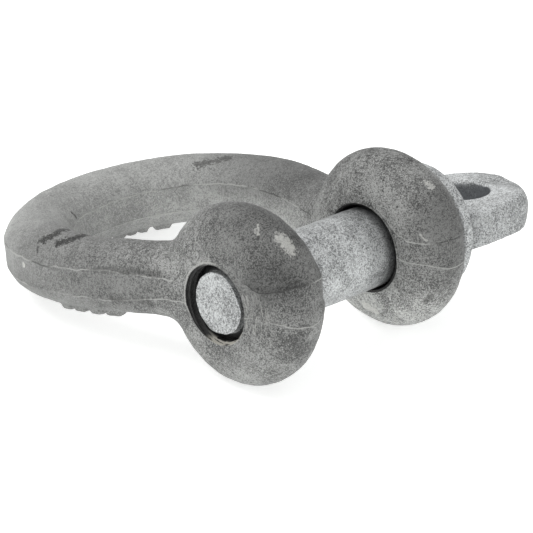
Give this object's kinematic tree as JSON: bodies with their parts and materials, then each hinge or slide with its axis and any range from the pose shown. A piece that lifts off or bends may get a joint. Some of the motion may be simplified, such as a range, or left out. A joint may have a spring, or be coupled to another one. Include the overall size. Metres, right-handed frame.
{
  "type": "bow shackle",
  "caption": "Bow-shaped galvanised shackle whose screw pin, with a flat holed eye, closes the gap between two round ears.",
  "frame": {"origin": "on the pin's axis, midway between the two ears", "axes": "+X along the pin from the threaded ear to the pin's eye, +Y from the pin to the crown of the bow, +Z square to the plane of the bow"},
  "size_m": [0.1222, 0.1212, 0.0468],
  "materials": {
    "bow_zinc": "dull mottled grey hot-dip galvanising on forged steel, grainy, with dark dross marks and a pale chip",
    "pin_zinc": "lighter, slightly bluish hot-dip galvanising on forged steel",
    "core_steel": "plain steel, inside the pin and never seen"
  },
  "bodies": {
    "bow": {"bow": "bow_zinc"},
    "pin_travel": {"pin_core": "core_steel"},
    "pin": {"pin": "pin_zinc"}
  },
  "joints": [
    {"name": "pin_draw", "type": "slide", "parent": "bow", "child": "pin_travel", "axis": [1, 0, 0], "range_m": [0, 0.07347]},
    {"name": "pin_turn", "type": "hinge", "parent": "pin_travel", "child": "pin", "pos_m": [0, 0, 0], "axis": [1, 0, 0], "range_deg": [0, 9360]}
  ],
  "couplings": [
    {"joint": "pin_draw", "follows": "pin_turn", "m_per_rad": 0.00044913}
  ]
}
